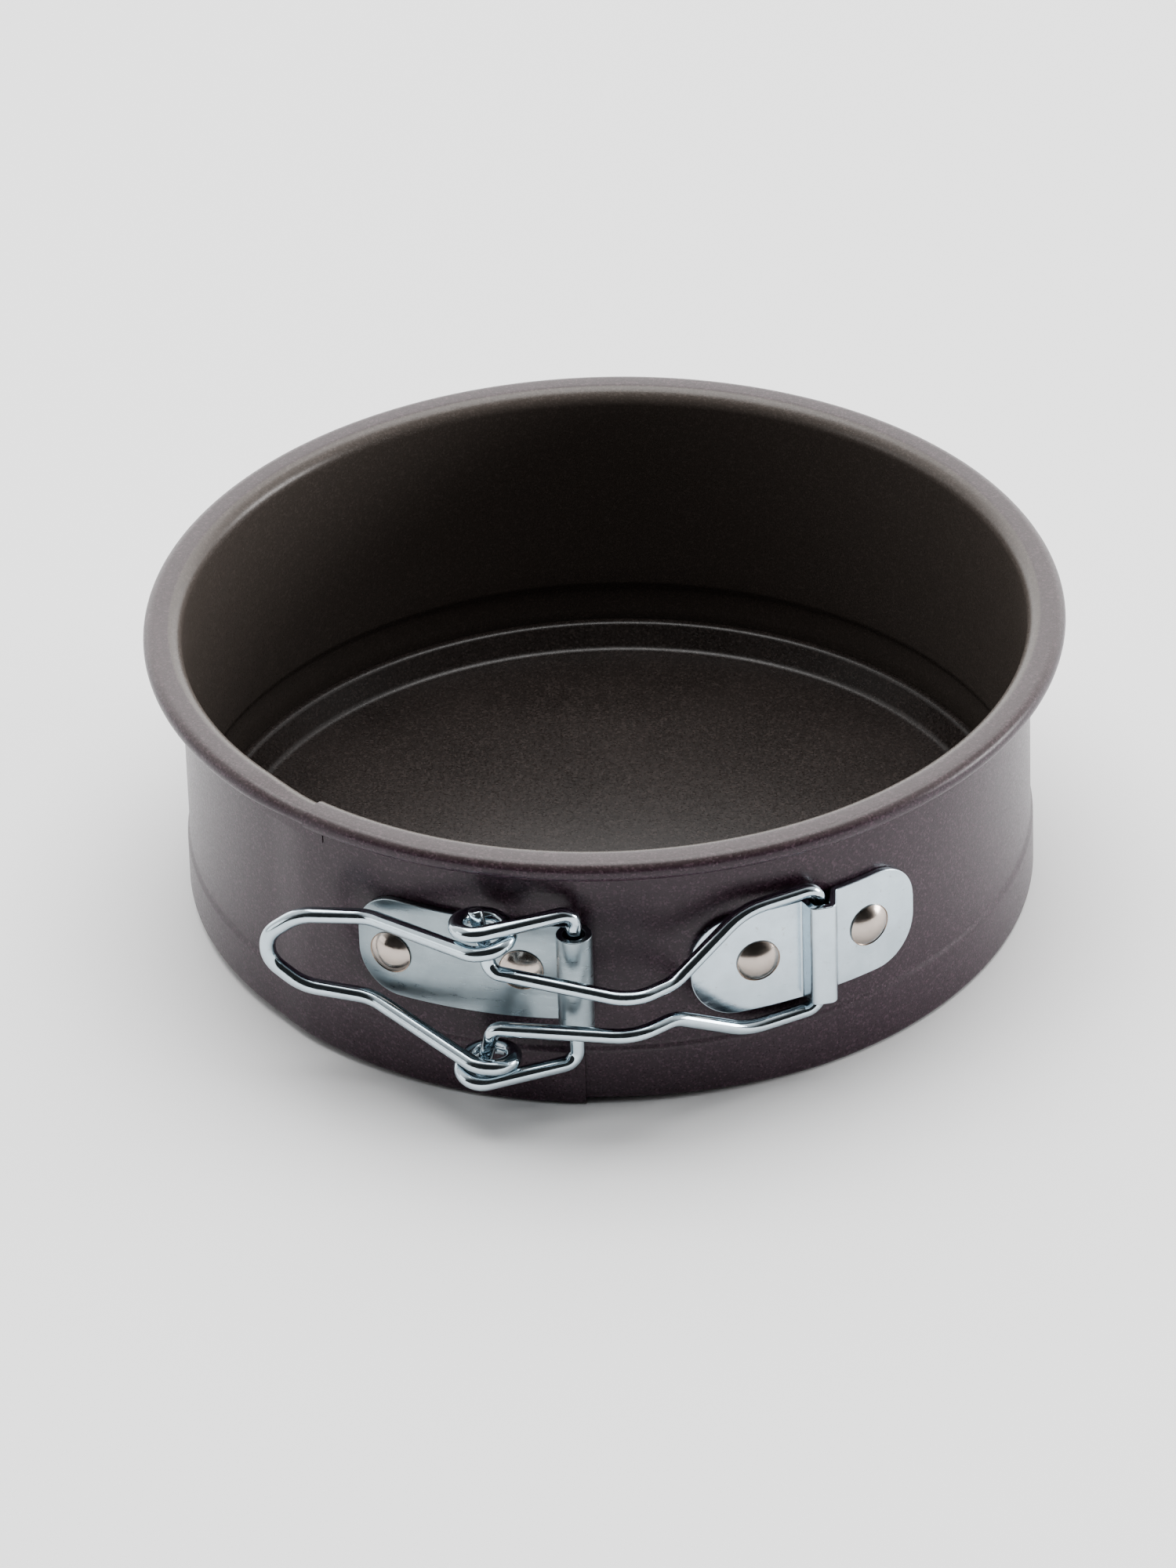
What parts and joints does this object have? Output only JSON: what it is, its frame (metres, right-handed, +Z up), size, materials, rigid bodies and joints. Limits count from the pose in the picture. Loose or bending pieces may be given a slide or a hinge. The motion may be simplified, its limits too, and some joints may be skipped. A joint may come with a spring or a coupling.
{
  "type": "springform pan",
  "caption": "Round springform cake pan in dark non-stick steel: sprung ring, loose base disc and a zinc-plated over-centre wire clasp.",
  "frame": {"origin": "centre of the surface the pan stands on, on the pan's axis", "axes": "+Z up along the pan's axis, +X to the right as seen from the clasp side, +Y away from the clasp"},
  "size_m": [0.166, 0.174, 0.0542],
  "materials": {
    "nonstick_ring": "satin",
    "nonstick_base": "satin",
    "zinc_plate": "satin",
    "zinc_wire": "polished",
    "rivet_steel": "satin"
  },
  "bodies": {
    "ring": {"band": "nonstick_ring", "hinge_plate": "zinc_plate", "hinge_rivet_left": "rivet_steel", "hinge_rivet_right": "rivet_steel"},
    "ring_end": {"catch_plate": "zinc_plate", "catch_rivet_left": "rivet_steel", "catch_rivet_right": "rivet_steel"},
    "lever": {"lever_wire": "zinc_wire"},
    "link": {"link_wire": "zinc_wire"},
    "base": {"base_disc": "nonstick_base"}
  },
  "joints": [
    {"name": "lever_swing", "type": "hinge", "parent": "ring", "child": "lever", "pos_m": [-0.007, -0.08001, 0.0272], "axis": [0, 0, 1], "range_deg": [0, 70]},
    {"name": "ring_opening", "type": "hinge", "parent": "ring", "child": "ring_end", "pos_m": [0, 0, 0.0272], "axis": [0, 0, 1], "range_deg": [0, 4.3], "deforming": ["band"]},
    {"name": "link_swing", "type": "hinge", "parent": "ring_end", "child": "link", "pos_m": [0.03594, -0.06962, 0.0272], "axis": [0, 0, 1], "range_deg": [0, 13.8]},
    {"name": "base_lift", "type": "slide", "parent": "ring", "child": "base", "axis": [0, 0, 1], "range_m": [0, 0.07]}
  ],
  "couplings": [
    {"joint": "ring_opening", "follows": "lever_swing", "ratio": 0.061},
    {"joint": "link_swing", "follows": "lever_swing", "ratio": 0.1968}
  ]
}
